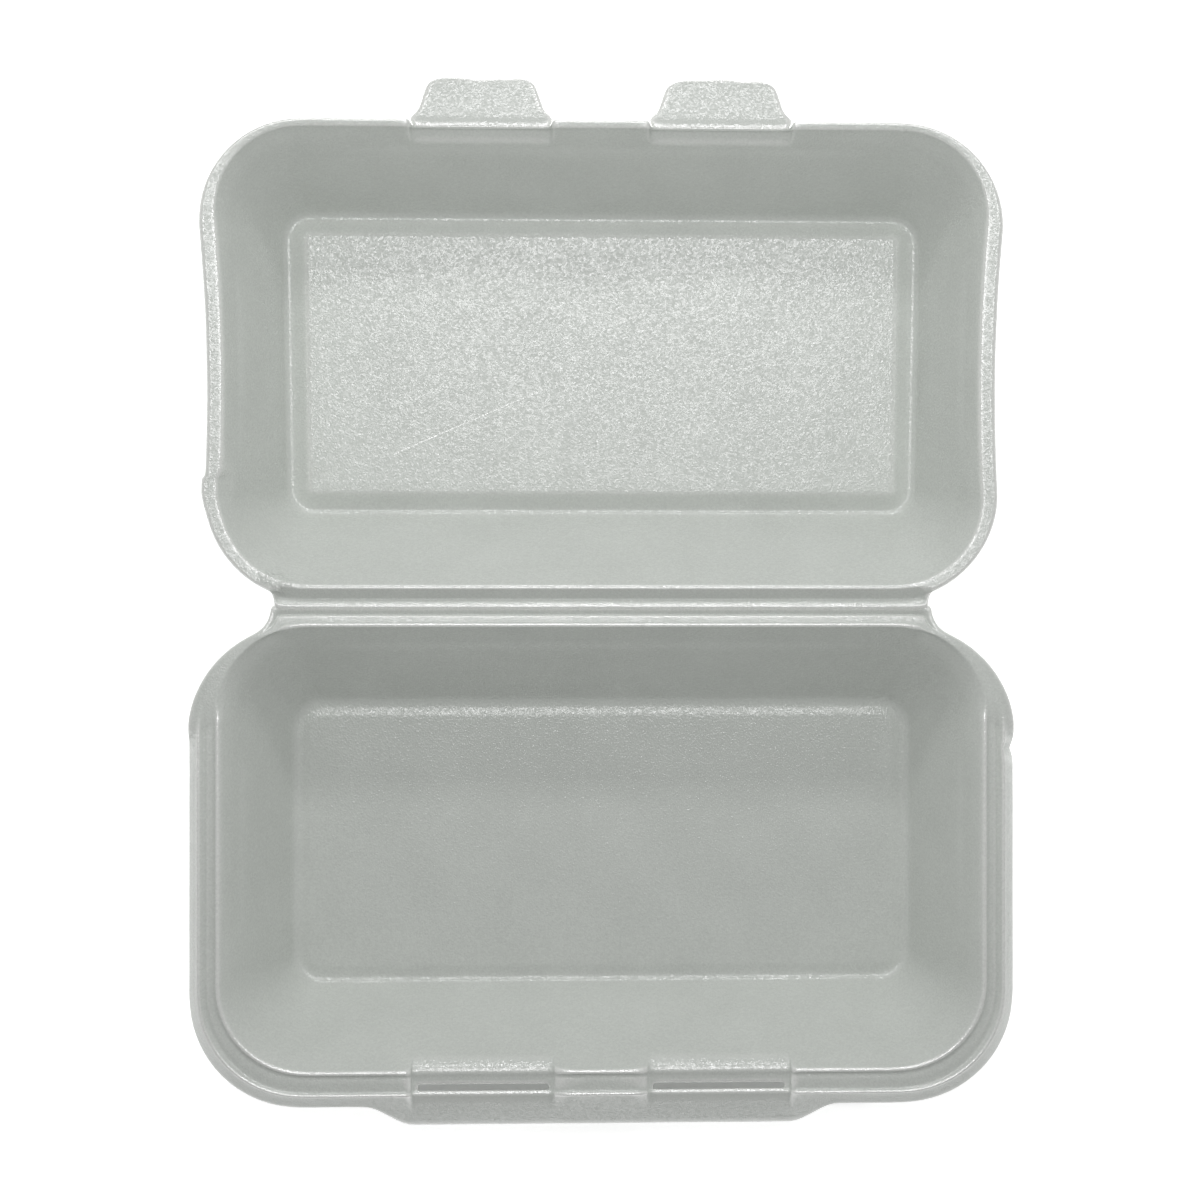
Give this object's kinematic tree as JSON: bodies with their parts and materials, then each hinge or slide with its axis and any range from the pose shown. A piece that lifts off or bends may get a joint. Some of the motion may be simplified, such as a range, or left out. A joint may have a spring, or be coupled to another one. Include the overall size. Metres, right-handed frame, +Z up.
{
  "type": "food box",
  "caption": "Rectangular moulded foam take-away food box lying open: rimmed base tray with tab slots and a front lip, creased strip hinge and a lid with locking tabs.",
  "frame": {"origin": "on the table under the middle of the hinge strip, with the box lying open", "axes": "+Y from the base towards the lid, across the hinge; +X along the hinge; +Z up, out of the open trays"},
  "size_m": [0.24, 0.305, 0.0353],
  "materials": {
    "foam": "satin foam skin"
  },
  "bodies": {
    "base": {"base": "foam"},
    "hinge_spine": {"hinge_spine": "foam"},
    "lid": {"lid": "foam"},
    "tab_left": {"tab_left": "foam"},
    "tab_right": {"tab_right": "foam"}
  },
  "joints": [
    {"name": "spine_fold", "type": "hinge", "parent": "base", "child": "hinge_spine", "pos_m": [0, -0.0017, 0.03275], "axis": [1, 0, 0], "range_deg": [0, 90]},
    {"name": "lid_fold", "type": "hinge", "parent": "hinge_spine", "child": "lid", "pos_m": [0, 0.0027, 0.03275], "axis": [1, 0, 0], "range_deg": [0, 90]},
    {"name": "tab_left_fold", "type": "hinge", "parent": "lid", "child": "tab_left", "pos_m": [-0.0342, 0.1395, 0.03285], "axis": [1, 0, 0], "range_deg": [0, 90]},
    {"name": "tab_right_fold", "type": "hinge", "parent": "lid", "child": "tab_right", "pos_m": [0.0342, 0.1395, 0.03285], "axis": [1, 0, 0], "range_deg": [0, 90]}
  ]
}
